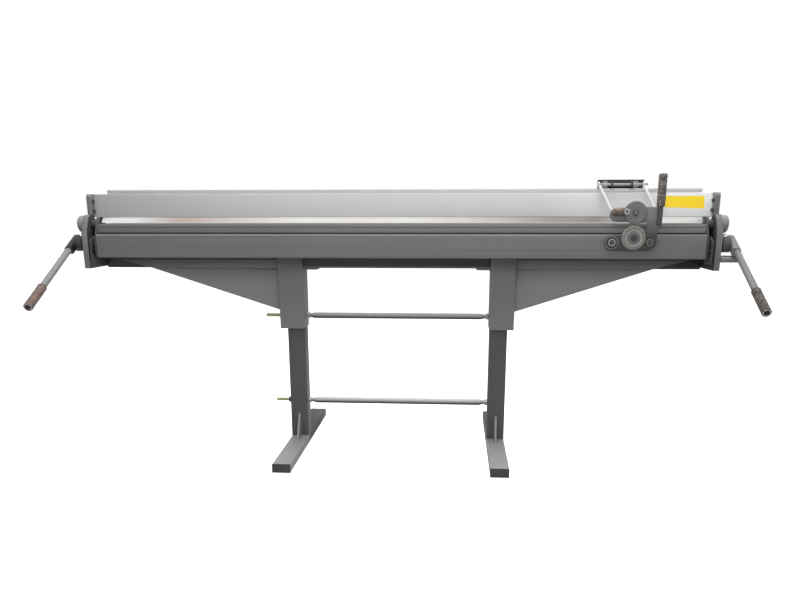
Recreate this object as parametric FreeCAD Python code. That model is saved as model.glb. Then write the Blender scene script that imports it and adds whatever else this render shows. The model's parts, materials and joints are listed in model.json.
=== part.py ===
"""Manual sheet metal brake with a roller knife, as separate solids in one frame.

X runs to the right along the bend line, Y to the back, Z up. Sizes are in mm.
All pieces are drawn with the bend line over y = 0 and are moved to BEND_Y when saved.
"""
import math
import os

import FreeCAD
import Part

os.makedirs("parts", exist_ok=True)

# Whole machine
BEND_Y = -77.0
BEND_Z = 1022.0
BEAM_HALF = 1296.0
SHEET_GAP = 5.0
CLEAR = 5.0
RUN_FIT = 0.05
SLOT_FIT = 0.4

LOWER_DROP = 186.0
LOWER_BOTTOM = BEND_Z - LOWER_DROP

# Feet, posts and tie rods
LEG_X = 462.0
TUBE_W = 80.0
FOOT_H = 40.0
FOOT_FRONT = -302.0
FOOT_REAR = 620.0
CAP_T = 3.0
POST_D = 80.0
POST_FRONT = 118.0
GUSSET_H = 112.0
GUSSET_L = 66.0
GUSSET_T = 8.0
BRACKET_SKIN = 4.0
BRACKET_REACH = 66.0
BRACKET_IN = LEG_X - TUBE_W / 2 - BRACKET_SKIN
BRACKET_OUT = LEG_X + BRACKET_REACH
BRACKET_WALL = 6.0
BRACKET_FRONT = POST_FRONT - 5 * BRACKET_WALL
BRACKET_H = 278.0
BRACKET_LOW = LOWER_BOTTOM - BRACKET_H
CHEEK_H = 114.0
BRACKET_TOP = LOWER_BOTTOM + CHEEK_H
FLAP_L = 62.0
FLAP_H = 16.0
TIE_Y = POST_FRONT + POST_D / 2
UPPER_TIE_RISE = 52.0
UPPER_TIE_Z = BRACKET_LOW + UPPER_TIE_RISE
UPPER_TIE_R = 13.5
UPPER_STUD_L = 78.0
UPPER_TIE_END = BRACKET_OUT + UPPER_STUD_L
LOWER_TIE_Z = 208.0
LOWER_TIE_R = 15.0
LOWER_STUD_L = 74.0
LOWER_TIE_END = LEG_X + TUBE_W / 2 + LOWER_STUD_L
STUD_R = 8.0
NUT_R = 15.0
NUT_T = 14.0
TAPER_L = 25.0

# Lower beam, bed and end plates
LOWER_FRONT = 110.0
LOWER_DEPTH = 100.0
BED_T = 12.0
BED_NOSE = 18.0
BED_ROOT = 60.0
WEB_T = 8.0
WEB_KEEP = 75.0
WEB_DROP = BRACKET_H - WEB_KEEP
WEB_INSET = 136.0
WEB_OUT = BEAM_HALF - WEB_INSET
END_T = 25.0
END_FRONT = -60.0
END_R = 40.0
END_TOP = BEND_Z + END_R
BOSS_R = 36.0
BOSS_T = 31.5
PIN_R = 12.0
COLLAR_R = 17.0

# Bending beam
BLADE_BACK = -7.5
BLADE_T = 12.5
BLADE_H = 50.0
BTUBE_D = 40.0
BTUBE_H = 98.0
BTUBE_BACK = -10.0
BTUBE_DROP = 42.0
LUG_T = 6.0
LUG_R = 18.0
NOSE_HALF = BEAM_HALF - LUG_T - CLEAR

# Clamping beam
NOSE_Y = 12.5
NOSE_H = 23.0
CLAMP_BACK = 98.0
CLAMP_H = 98.0
CLAMP_TOP = BEND_Z + SHEET_GAP + NOSE_H + CLAMP_H
CLAMP_LEAN = 23.0
CLAMP_WALL = 6.0
RAIL_FRONT = 62.0
RAIL_H = 17.0
RAIL_TOP = CLAMP_TOP + RAIL_H
RAIL_INSET = 21.0
RAIL_SHIFT = 8.0
RAIL_HALF = BEAM_HALF - RAIL_INSET
CLAMP_LIFT = 31.0
ARM_T = 8.0
ARM_IN = BEAM_HALF + CLEAR
ARM_OUT = ARM_IN + ARM_T
ARM_FRONT = -74.0
ARM_BACK = 60.0
ARM_DROP = 160.0
ARM_LOW = BEND_Z - ARM_DROP
ARM_REAR_LOW = 10.0
EAR_IN = ARM_OUT + 16.0
EAR_T = 22.0
EAR_FRONT = 22.0
EAR_ROUND = 10.0

# Levers and their cranks
HUB_Y = -32.0
HUB_DROP = 81.0
HUB_Z = BEND_Z - HUB_DROP
HUB_R = 32.0
LEVER_DROP = 28.0
LEVER_SWING = 115.0
SHAFT_R = 12.0
CRANK_E = 22.0
CRANK_T = 6.0
CRANK_IN = ARM_OUT + 3.0
CRANK_OUT = CRANK_IN + CRANK_T
CRANK_PIN_R = 9.0
END_IN = CRANK_OUT + 2.0
END_OUT = END_IN + END_T
HUB_OUT = END_OUT + BOSS_T + CLEAR + 0.5
WINDOW_DROP = 7.0
LTUBE_R = 13.5
LTUBE_L = 333.0
SLEEVE_WALL = 3.5
SLEEVE_R = LTUBE_R + SLEEVE_WALL
SLEEVE_OVER = 47.0
SLEEVE_L = 58.0
GRIP_R = 18.5
GRIP_L = 146.0
STOP_Y = -62.0
STOP_DROP = 58.0
STOP_Z = HUB_Z - STOP_DROP
STOP_R = 13.0
STOP_L = 72.0
STOP_END = END_OUT + STOP_L

# Roller knife, placed from the axis of its discs
KNIFE_INSET = 310.0
KNIFE_X = BEAM_HALF - KNIFE_INSET
KNIFE_Y = -60.0
FRAME_T = 6.0
ROD_Y = 40.0
ROD_RISE = 16.0
ROD_Z = RAIL_TOP + ROD_RISE
ROD_R = 5.0
CARRIAGE_LEFT = 128.0
CARRIAGE_RIGHT = 61.0
CARRIAGE_L = KNIFE_X - CARRIAGE_LEFT
CARRIAGE_R = KNIFE_X + CARRIAGE_RIGHT
CARRIAGE_Y = 84.0
CARRIAGE_RISE = 20.0
CARRIAGE_TOP = ROD_Z + CARRIAGE_RISE
CARRIAGE_T = 6.0
EYE_W = 6.0
EYE_R = 11.0
ROLLER_R = 16.0
ROLLER_W = 14.0
UPPER_DISC_R = 46.0
LOWER_DISC_R = 49.0
DISC_T = 5.0
DISC_EDGE = 3.0
AXLE_R = 6.0
THROAT = SHEET_GAP / 2 + 3.0
THROAT_L = 54.0
SHOULDER_R = 28.0
SHOULDER_DX = 72.0
SHOULDER_RISE = 37.0
SHOULDER_Z = BEND_Z + SHOULDER_RISE
HEAD_RISE = 68.0
HEAD_TOP = BEND_Z + HEAD_RISE
HEAD_RIGHT = 108.0
LOBE_R = 29.0
LOBE_DX = 76.0
LOBE_SHIFT = 10.0
LOBE_DROP = 72.0
LOBE_Z = BEND_Z - LOBE_DROP
GUIDE_R = 16.0
GUIDE_T = 8.0
KNOB_R = 14.0
KNOB_L = 42.0
KNOB_RISE = 14.0
KNOB_Z = SHOULDER_Z + KNOB_RISE
ARM_ROD_R = 6.0
PAD_R = 8.0
HANDLE_DX = 97.0
HANDLE_L = 127.0
HANDLE_R = 17.0
NECK_R = 9.0
NECK_LOW = BEND_Z


def vec(x, y, z):
    return FreeCAD.Vector(x, y, z)


def box(x0, x1, y0, y1, z0, z1):
    return Part.makeBox(x1 - x0, y1 - y0, z1 - z0, vec(x0, y0, z0))


def rod(r, start, end):
    way = end - start
    return Part.makeCylinder(r, way.Length, start, way)


def rod_x(r, y, z, x0, x1):
    return rod(r, vec(x0, y, z), vec(x1, y, z))


def rod_y(r, x, z, y0, y1):
    return rod(r, vec(x, y0, z), vec(x, y1, z))


def side_plate(points, x0, x1):
    """A plate with its outline in Y and Z, thick along X."""
    wire = Part.makePolygon([vec(x0, y, z) for y, z in points + points[:1]])
    return Part.Face(wire).extrude(vec(x1 - x0, 0, 0))


def front_plate(points, y0, y1):
    """A plate with its outline in X and Z, thick along Y."""
    wire = Part.makePolygon([vec(x, y0, z) for x, z in points + points[:1]])
    return Part.Face(wire).extrude(vec(0, y1 - y0, 0))


def link_x(x0, x1, y0, z0, r0, y1, z1, r1):
    """A rounded link between two circles, thick along X."""
    way = math.atan2(z1 - z0, y1 - y0)
    span = math.hypot(y1 - y0, z1 - z0)
    tilt = math.acos((r0 - r1) / span)
    corners = []
    for y, z, r, turn in ((y0, z0, r0, tilt), (y1, z1, r1, tilt), (y1, z1, r1, -tilt), (y0, z0, r0, -tilt)):
        corners.append((y + r * math.cos(way + turn), z + r * math.sin(way + turn)))
    body = side_plate(corners, x0, x1)
    return body.fuse([rod_x(r0, y0, z0, x0, x1), rod_x(r1, y1, z1, x0, x1)]).removeSplitter()


def link_y(y0, y1, x0, z0, r0, x1, z1, r1):
    """The same link, thick along Y."""
    link = link_x(-y1, -y0, x0, z0, r0, x1, z1, r1)
    link.rotate(vec(0, 0, 0), vec(0, 0, 1), -90)
    return link


def hexagon_x(r, y, z, x0, x1):
    points = []
    for k in range(6):
        turn = math.radians(60 * k)
        points.append((y + r * math.cos(turn), z + r * math.sin(turn)))
    return side_plate(points, x0, x1)


def mirrored(shape):
    return shape.mirror(vec(0, 0, 0), vec(1, 0, 0))


def save(name, shape):
    placed = shape.copy()
    placed.translate(vec(0, BEND_Y, 0))
    placed.exportStep("parts/" + name + ".step")


def save_pair(name, shape):
    """Saves a piece drawn on the right and its mirror image on the left."""
    save("right_" + name, shape)
    save("left_" + name, mirrored(shape))


# Feet
foot = box(LEG_X - TUBE_W / 2, LEG_X + TUBE_W / 2, FOOT_FRONT + CAP_T, FOOT_REAR - CAP_T, 0, FOOT_H)
save_pair("foot", foot)
caps = []
for y in (FOOT_FRONT, FOOT_REAR - CAP_T):
    caps.append(box(LEG_X - TUBE_W / 2, LEG_X + TUBE_W / 2, y, y + CAP_T, 0, FOOT_H))
save_pair("foot_caps", Part.makeCompound(caps))

# Posts and their gussets
post_back = POST_FRONT + POST_D
post = box(LEG_X - TUBE_W / 2, LEG_X + TUBE_W / 2, POST_FRONT, post_back, FOOT_H, LOWER_BOTTOM)
save_pair("post", post)
ribs = []
for y, out in ((POST_FRONT, -1), (post_back, 1)):
    outline = [(y, FOOT_H), (y + out * GUSSET_L, FOOT_H), (y, FOOT_H + GUSSET_H)]
    ribs.append(side_plate(outline, LEG_X - GUSSET_T / 2, LEG_X + GUSSET_T / 2))
save_pair("gussets", Part.makeCompound(ribs))

# Leg brackets round the posts, up to the front of the lower beam
bracket_back = post_back + BRACKET_WALL
shell = box(BRACKET_IN, BRACKET_OUT, BRACKET_FRONT, bracket_back, BRACKET_LOW, LOWER_BOTTOM)
core = box(
    BRACKET_IN + BRACKET_SKIN, BRACKET_OUT - BRACKET_WALL, BRACKET_FRONT + BRACKET_WALL, post_back,
    BRACKET_LOW - 1, LOWER_BOTTOM + 1,
)
cheek = box(BRACKET_IN, BRACKET_OUT, BRACKET_FRONT, LOWER_FRONT, LOWER_BOTTOM, BRACKET_TOP)
flap = box(BRACKET_IN - FLAP_L, BRACKET_IN, POST_FRONT, post_back, LOWER_BOTTOM - FLAP_H, LOWER_BOTTOM)
save_pair("leg_bracket", shell.cut(core).fuse([cheek, flap]).removeSplitter())


# Tie rods between the legs, with a long stud on the left
def tie(name, z, tube_r, inner, outer, end):
    half = inner - NUT_T
    profile = [(-half, 0), (-half, STUD_R), (-half + TAPER_L, tube_r)]
    profile += [(-x, r) for x, r in reversed(profile)]
    wire = Part.makePolygon([vec(x, TIE_Y, z + r) for x, r in profile + profile[:1]])
    bar = Part.Face(wire).revolve(vec(0, TIE_Y, z), vec(1, 0, 0), 360)
    nuts = [hexagon_x(NUT_R, TIE_Y, z, x, x + NUT_T) for x in (-inner, half)]
    save(name + "_tie_rod", Part.makeCompound([bar] + nuts))
    stud = rod_x(STUD_R, TIE_Y, z, -end, -outer)
    stud = stud.fuse(hexagon_x(NUT_R, TIE_Y, z, -outer - NUT_T, -outer))
    save(name + "_tie_studs", stud.removeSplitter())


tie("upper", UPPER_TIE_Z, UPPER_TIE_R, BRACKET_IN, BRACKET_OUT, UPPER_TIE_END)
tie("lower", LOWER_TIE_Z, LOWER_TIE_R, LEG_X - TUBE_W / 2, LEG_X + TUBE_W / 2, LOWER_TIE_END)

# Lower beam and bed
lower_back = LOWER_FRONT + LOWER_DEPTH
bed_under = BEND_Z - BED_T
save("lower_beam", box(-END_IN, END_IN, LOWER_FRONT, lower_back, LOWER_BOTTOM, bed_under))
bed_outline = [
    (0, BEND_Z), (lower_back, BEND_Z), (lower_back, bed_under), (LOWER_FRONT, bed_under),
    (LOWER_FRONT, BEND_Z - BED_ROOT), (0, BEND_Z - BED_NOSE),
]
bed = side_plate(bed_outline, -NOSE_HALF, NOSE_HALF)
save("bed", bed.fuse(box(-END_IN, END_IN, LOWER_FRONT, lower_back, bed_under, BEND_Z)).removeSplitter())
web_y = LOWER_FRONT + 30
web_outline = [
    (BRACKET_OUT, LOWER_BOTTOM), (WEB_OUT, LOWER_BOTTOM), (BRACKET_OUT, LOWER_BOTTOM - WEB_DROP),
]
save_pair("web", front_plate(web_outline, web_y, web_y + WEB_T))

# End plates, rounded about the bend line, with the pivot bosses
end_outline = [(END_FRONT, LOWER_BOTTOM), (END_FRONT, BEND_Z - END_R + CLEAR)]
for angle in (160, 25):
    turn = math.radians(angle)
    end_outline.append((END_R * math.cos(turn), BEND_Z + END_R * math.sin(turn)))
end_outline += [(lower_back, BEND_Z - 2 * CLEAR - BED_T), (lower_back, LOWER_BOTTOM)]
end_plate = side_plate(end_outline, END_IN, END_OUT).fuse(rod_x(END_R, 0, BEND_Z, END_IN, END_OUT))
end_plate = end_plate.cut(rod_x(PIN_R + RUN_FIT, 0, BEND_Z, END_IN - 1, END_OUT + 1))
end_plate = end_plate.cut(rod_x(SHAFT_R + RUN_FIT, HUB_Y, HUB_Z, END_IN - 1, END_OUT + 1))
save_pair("end_plate", end_plate.removeSplitter())
save_pair("pivot_boss", rod_x(BOSS_R, 0, BEND_Z, END_OUT, END_OUT + BOSS_T))
save("lever_stop", rod_x(STOP_R, STOP_Y, STOP_Z, END_OUT, STOP_END))

# Bending beam, drawn lying at zero degrees
blade_front = BLADE_BACK - BLADE_T
tube_top = BEND_Z - BTUBE_DROP
blade_half = BEAM_HALF - LUG_T
blade = box(-blade_half, blade_half, blade_front, BLADE_BACK, tube_top, BEND_Z)
save("bending_blade", blade)
tube_front = BTUBE_BACK - BTUBE_D
tube = box(-blade_half, blade_half, tube_front, BTUBE_BACK, tube_top - BTUBE_H, tube_top)
save("bending_tube", tube)
lug = link_x(blade_half, BEAM_HALF, 0, BEND_Z, LUG_R, (tube_front + BTUBE_BACK) / 2, tube_top - 30, LUG_R)
lug = lug.fuse(box(blade_half, BEAM_HALF, tube_front, BTUBE_BACK, tube_top - BTUBE_H, tube_top - 12))
pin = rod_x(PIN_R, 0, BEND_Z, END_IN - 2, END_OUT - 1)
collar = rod_x(COLLAR_R, 0, BEND_Z, BEAM_HALF, END_IN - 2)
save_pair("pivot_lug", lug.fuse([pin, collar]).removeSplitter())

# Clamping beam
nose_low = BEND_Z + SHEET_GAP
nose_top = nose_low + NOSE_H
nose_outline = [
    (NOSE_Y, nose_low), (NOSE_Y + NOSE_H, nose_top), (CLAMP_BACK, nose_top), (CLAMP_BACK, nose_low),
]
save("clamp_nose", side_plate(nose_outline, -NOSE_HALF, NOSE_HALF))
plate_low = NOSE_Y + NOSE_H
plate_top = plate_low + CLAMP_LEAN
outer = [(plate_low, nose_top), (plate_top, CLAMP_TOP), (CLAMP_BACK, CLAMP_TOP), (CLAMP_BACK, nose_top)]
inner = [
    (plate_low + 2 * CLAMP_WALL, nose_top + CLAMP_WALL), (plate_top + CLAMP_WALL, CLAMP_TOP - CLAMP_WALL),
    (CLAMP_BACK - CLAMP_WALL, CLAMP_TOP - CLAMP_WALL), (CLAMP_BACK - CLAMP_WALL, nose_top + CLAMP_WALL),
]
clamp_box = side_plate(outer, -EAR_IN, EAR_IN)
clamp_box = clamp_box.cut(side_plate(inner, -EAR_IN - 1, EAR_IN + 1))
save("clamp_box", clamp_box)
save("clamp_rail", box(RAIL_SHIFT - RAIL_HALF, RAIL_SHIFT + RAIL_HALF, RAIL_FRONT, CLAMP_BACK, CLAMP_TOP, RAIL_TOP))

# Ears and hooked arms of the clamping beam: the hook runs on the collar, the window on the crank pin
slot_r = COLLAR_R + SLOT_FIT
notch_top = BEND_Z + 1
notch_low = BEND_Z - CLAMP_LIFT - 1
arm_outline = [
    (ARM_FRONT, ARM_LOW), (ARM_FRONT, notch_low - 2 * slot_r), (ARM_FRONT / 2, notch_low - slot_r),
    (slot_r, nose_top), (CLAMP_BACK, nose_top), (CLAMP_BACK, nose_low), (ARM_BACK, notch_low),
    (ARM_BACK, HUB_Z + HUB_R), (ARM_REAR_LOW, HUB_Z - HUB_R), (ARM_REAR_LOW, ARM_LOW),
]
arm = side_plate(arm_outline, ARM_IN, ARM_OUT)
notch = link_x(ARM_IN - 1, ARM_OUT + 1, 0, notch_top, slot_r, 0, notch_low, slot_r - 0.01)
mouth = box(ARM_IN - 1, ARM_OUT + 1, ARM_FRONT - 1, 0, notch_low - slot_r, notch_top + slot_r)
window_r = CRANK_PIN_R + SLOT_FIT
window = box(
    ARM_IN - 1, ARM_OUT + 1, HUB_Y - CRANK_E - window_r, HUB_Y + window_r,
    HUB_Z - CRANK_E - window_r - WINDOW_DROP, HUB_Z - CRANK_E + window_r,
)
arm = arm.cut([notch, mouth, window])
ear_outline = [
    (EAR_FRONT, END_TOP), (EAR_FRONT, CLAMP_TOP - EAR_ROUND), (EAR_FRONT + EAR_ROUND, CLAMP_TOP),
    (CLAMP_BACK, CLAMP_TOP), (CLAMP_BACK, nose_top), (plate_low + 1, nose_top),
]
ear = side_plate(ear_outline, EAR_IN, EAR_IN + EAR_T)
save_pair("clamp_arm", Part.makeCompound([arm, ear]))

# Clamping levers: hub, crank and pin, with the lever tube in a wrapped plate across the hub
def on_lever(s):
    drop = math.radians(LEVER_DROP)
    return vec(HUB_OUT + SLEEVE_R, HUB_Y - s * math.cos(drop), HUB_Z - s * math.sin(drop))


hub = rod_x(HUB_R, HUB_Y, HUB_Z, END_OUT + CLEAR, HUB_OUT)
shaft = rod_x(SHAFT_R, HUB_Y, HUB_Z, CRANK_IN, END_OUT + CLEAR)
crank = link_x(CRANK_IN, CRANK_OUT, HUB_Y, HUB_Z, SHAFT_R + 4, HUB_Y, HUB_Z - CRANK_E, CRANK_PIN_R)
crank_pin = rod_x(CRANK_PIN_R, HUB_Y, HUB_Z - CRANK_E, ARM_IN, CRANK_OUT)
save_pair("lever_hub", hub.fuse([shaft, crank, crank_pin]).removeSplitter())
seat = box(HUB_OUT, HUB_OUT + SLEEVE_R, -SLEEVE_L, SLEEVE_OVER, -SLEEVE_R, SLEEVE_R)
seat.rotate(vec(0, 0, 0), vec(1, 0, 0), LEVER_DROP)
seat.translate(vec(0, HUB_Y, HUB_Z))
wrap = rod(SLEEVE_R, on_lever(-SLEEVE_OVER), on_lever(SLEEVE_L)).fuse(seat)
save_pair("lever_plate", wrap.removeSplitter())
save_pair("lever_tube", rod(LTUBE_R, on_lever(SLEEVE_L), on_lever(LTUBE_L)))
save_pair("lever_grip", rod(GRIP_R, on_lever(LTUBE_L), on_lever(LTUBE_L + GRIP_L)))

# Knife carriage on the rail
hook_front = CLAMP_BACK + CARRIAGE_T
hook_back = hook_front + CARRIAGE_T
plate = box(CARRIAGE_L, CARRIAGE_R, CARRIAGE_Y, CARRIAGE_Y + CARRIAGE_T, RAIL_TOP + CLEAR, CARRIAGE_TOP)
bridge = box(CARRIAGE_L, CARRIAGE_R, CARRIAGE_Y, hook_back, CARRIAGE_TOP - CARRIAGE_T, CARRIAGE_TOP)
hook = box(CARRIAGE_L, CARRIAGE_R, hook_front, hook_back, CLAMP_TOP - 2 * RAIL_H, CARRIAGE_TOP)
ears = []
rollers = []
ear_spots = ((CARRIAGE_L + 8 * EYE_W, -1), (CARRIAGE_R - 10 * EYE_W, 1))
for x, side in ear_spots:
    cheek = side_plate(
        [(ROD_Y - EYE_R, ROD_Z - EYE_R), (ROD_Y - EYE_R, ROD_Z + ROD_R), (ROD_Y, ROD_Z + EYE_R),
         (CARRIAGE_Y, ROD_Z + EYE_R), (CARRIAGE_Y, ROD_Z - EYE_R)],
        x - EYE_W / 2, x + EYE_W / 2,
    )
    ears.append(cheek)
    roller_x = x + side * (EYE_W + ROLLER_R)
    rollers.append(rod_y(ROLLER_R, roller_x, RAIL_TOP + ROLLER_R, CARRIAGE_Y - ROLLER_W, CARRIAGE_Y))
carriage = plate.fuse([bridge, hook] + ears)
carriage = carriage.cut(rod_x(ROD_R, ROD_Y, ROD_Z, CARRIAGE_L, CARRIAGE_R))
save("knife_carriage", carriage.removeSplitter())
save("knife_rail_rollers", Part.makeCompound(rollers))
left_eye = CARRIAGE_L - EYE_W
right_eye = CARRIAGE_R - 2 * EYE_W
save("knife_hinge_rod", rod_x(ROD_R, ROD_Y, ROD_Z, left_eye - EYE_W, CARRIAGE_R + EYE_W))

# Knife frame: a rounded shoulder and a lobed lower plate, joined behind the throat
frame_back = KNIFE_Y
frame_front = KNIFE_Y - FRAME_T
upper_z = BEND_Z - 2 + SHEET_GAP / 2 + UPPER_DISC_R
lower_z = BEND_Z - 2 - SHEET_GAP / 2 - LOWER_DISC_R
head_right = KNIFE_X + HEAD_RIGHT
lobe_l = KNIFE_X - LOBE_SHIFT - LOBE_DX
lobe_r = KNIFE_X - LOBE_SHIFT + LOBE_DX
throat_x = KNIFE_X + THROAT_L
shoulder_x = KNIFE_X - SHOULDER_DX
shoulder = link_y(
    frame_front, frame_back, shoulder_x, SHOULDER_Z, SHOULDER_R,
    KNIFE_X, SHOULDER_Z + 1, SHOULDER_R + 2,
)
cheek = front_plate([
    (KNIFE_X, BEND_Z + THROAT), (KNIFE_X, HEAD_TOP), (head_right, HEAD_TOP), (head_right, BEND_Z - THROAT),
    (lobe_r + LOBE_R, BEND_Z - LOBE_R), (lobe_r + LOBE_R, LOBE_Z), (lobe_r - LOBE_R / 2, LOBE_Z),
    (lobe_r - LOBE_R / 2, BEND_Z - THROAT), (throat_x, BEND_Z - THROAT), (throat_x, BEND_Z + THROAT),
], frame_front, frame_back)
base = link_y(frame_front, frame_back, lobe_l, LOBE_Z, LOBE_R, lobe_r, LOBE_Z, LOBE_R + 0.01)
frame = shoulder.fuse([cheek, base])
for z in (upper_z, lower_z):
    frame = frame.cut(rod_y(AXLE_R, KNIFE_X, z, frame_front - 1, frame_back + 1))
save("knife_frame", frame.removeSplitter())

# Cutting discs, turned with a bevelled edge, on their axles
disc_back = frame_front - CLEAR
disc_front = disc_back - DISC_T
axle_front = disc_front - CLEAR
for name, z, r in (("upper", upper_z, UPPER_DISC_R), ("lower", lower_z, LOWER_DISC_R)):
    save("knife_" + name + "_axle", rod_y(AXLE_R, KNIFE_X, z, axle_front, frame_back))
    bore = AXLE_R + RUN_FIT
    section = [(bore, disc_back), (r, disc_back), (r - DISC_EDGE, disc_front), (bore, disc_front)]
    wire = Part.makePolygon([vec(KNIFE_X, y, z + out) for out, y in section + section[:1]])
    save("knife_" + name + "_disc", Part.Face(wire).revolve(vec(KNIFE_X, 0, z), vec(0, 1, 0), 360))
guides = [rod_y(GUIDE_R, x, LOBE_Z, frame_front - GUIDE_T, frame_front) for x in (lobe_l, lobe_r)]
save("knife_guide_rollers", Part.makeCompound(guides))

# Adjusting knob on the shoulder
knob_left = shoulder_x - KNOB_R - CLEAR
save("knife_knob", rod_x(KNOB_R, frame_front - KNOB_R, KNOB_Z, knob_left, knob_left + KNOB_L))

# Rods that hang the head from the hinge rod
arms = []
pads = ((shoulder_x - SHOULDER_R + 1.5 * PAD_R, KNOB_Z), (head_right - 3 * PAD_R, HEAD_TOP - PAD_R))
for top, (low, z) in zip((left_eye, right_eye), pads):
    eye = rod_x(ROD_R + ARM_ROD_R, ROD_Y, ROD_Z, top - EYE_W / 2, top + EYE_W / 2)
    pin_at = vec(top, ROD_Y, ROD_Z)
    tail_end = vec(low, frame_back - PAD_R, z - PAD_R)
    way = (tail_end - pin_at).normalize()
    tail = rod(ARM_ROD_R, pin_at + way * (ROD_R + 1.5), tail_end)
    tail = tail.cut(box(low - 3 * PAD_R, low + 3 * PAD_R, frame_back - 3 * PAD_R, frame_back, LOBE_Z, ROD_Z))
    pin_way = rod_x(ROD_R + RUN_FIT, ROD_Y, ROD_Z, top - 2 * EYE_W, top + 2 * EYE_W)
    arms.append(eye.fuse(tail).cut(pin_way).removeSplitter())
save("knife_arms", Part.makeCompound(arms))

# Handle at the right of the head
handle_x = KNIFE_X + HANDLE_DX
handle_y = frame_front - NECK_R
handle_low = HEAD_TOP + 2
neck = box(handle_x - NECK_R, handle_x + NECK_R, handle_y - NECK_R, frame_front, NECK_LOW, handle_low)
save("knife_handle_neck", neck)
save("knife_grip", rod(HANDLE_R, vec(handle_x, handle_y, handle_low), vec(handle_x, handle_y, handle_low + HANDLE_L)))
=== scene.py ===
# %% [markdown]
# # A sheet metal brake with a roller knife
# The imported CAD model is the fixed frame: every solid is already in its place, in metres, and rides on
# its body. This file only dresses it: camera, light, finishes and the small pieces that CAD leaves out.

import json
import math
import random

import bmesh
import bpy
from mathutils import Matrix, Vector


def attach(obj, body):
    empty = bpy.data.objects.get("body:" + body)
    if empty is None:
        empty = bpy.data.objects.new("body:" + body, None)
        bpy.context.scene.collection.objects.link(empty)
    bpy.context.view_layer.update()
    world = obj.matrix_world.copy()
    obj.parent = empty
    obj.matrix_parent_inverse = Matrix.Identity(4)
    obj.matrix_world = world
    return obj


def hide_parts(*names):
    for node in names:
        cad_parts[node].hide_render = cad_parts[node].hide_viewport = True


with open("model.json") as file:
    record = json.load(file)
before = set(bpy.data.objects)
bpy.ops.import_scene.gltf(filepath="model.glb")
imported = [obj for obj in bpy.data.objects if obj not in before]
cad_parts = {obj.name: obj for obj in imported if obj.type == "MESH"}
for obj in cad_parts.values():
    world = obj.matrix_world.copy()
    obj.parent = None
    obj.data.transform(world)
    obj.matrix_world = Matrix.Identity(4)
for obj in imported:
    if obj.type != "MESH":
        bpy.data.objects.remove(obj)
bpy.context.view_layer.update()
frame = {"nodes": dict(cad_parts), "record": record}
nodes = frame["nodes"]
SIDES = (("left", -1), ("right", 1))

# %% [markdown]
# The photograph was taken from a little right of the middle, 1.1 m above the floor, looking about 15
# degrees down and 4 degrees to the left. The best fit also needs a shifted lens, as if the picture had
# been cut out of a taller one.

# %% Camera
CAMERA_AT = Vector((0.2599, -3.3909, 1.0989))
YAW = 0.0711
PITCH = -0.2693
ROLL = -0.0019
FOCAL_PX = 760.0
SHIFT_PX = 115.0
PHOTO_WIDTH_PX = 800.0
SENSOR_MM = 36.0

lens = bpy.data.cameras.new("photo_camera")
lens.lens = FOCAL_PX / PHOTO_WIDTH_PX * SENSOR_MM
lens.sensor_width = SENSOR_MM
lens.shift_y = SHIFT_PX / PHOTO_WIDTH_PX
lens.clip_end = 60.0
camera = bpy.data.objects.new("photo_camera", lens)
bpy.context.scene.collection.objects.link(camera)
yaw_turn = Matrix.Rotation(YAW, 3, "Z")
pitch_turn = Matrix.Rotation(math.pi / 2 + PITCH, 3, "X")
turned = yaw_turn @ pitch_turn @ Matrix.Rotation(ROLL, 3, "Z")
camera.matrix_world = Matrix.Translation(CAMERA_AT) @ turned.to_4x4()
bpy.context.scene.camera = camera
bpy.context.scene.view_settings.view_transform = "Standard"
print("camera at", tuple(round(v, 3) for v in CAMERA_AT))

# %% [markdown]
# Shader maths reads best as plain expressions. This small class wraps a node's output socket, so that
# `1 - mask * 0.4` adds the Math nodes by itself. Colours go through Mix nodes, because a Math node would
# turn them grey.

# %% A socket that can be calculated with
class Value:
    def __init__(self, tree, socket):
        self.tree = tree
        self.socket = socket

    def math(self, operation, *others):
        node = self.tree.nodes.new("ShaderNodeMath")
        node.operation = operation
        for slot, item in zip(node.inputs, (self,) + others):
            if isinstance(item, Value):
                self.tree.links.new(item.socket, slot)
            else:
                slot.default_value = item
        return Value(self.tree, node.outputs[0])

    def __add__(self, other):
        return self.math("ADD", other)

    def __radd__(self, other):
        return self.math("ADD", other)

    def __mul__(self, other):
        return self.math("MULTIPLY", other)

    def __rsub__(self, other):
        return (self * -1.0).math("ADD", other)

    def clamped(self):
        node = self.tree.nodes.new("ShaderNodeClamp")
        self.tree.links.new(self.socket, node.inputs[0])
        return Value(self.tree, node.outputs[0])


print("sockets can be calculated with")

# %% [markdown]
# A finish is one Principled material. Its patterns hang on Object coordinates, so they stay glued to the
# metal when a body moves. Bands let one tone pass into another along an axis, for the soft changes of
# light along the machine that plain studio lamps don't give.

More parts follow.
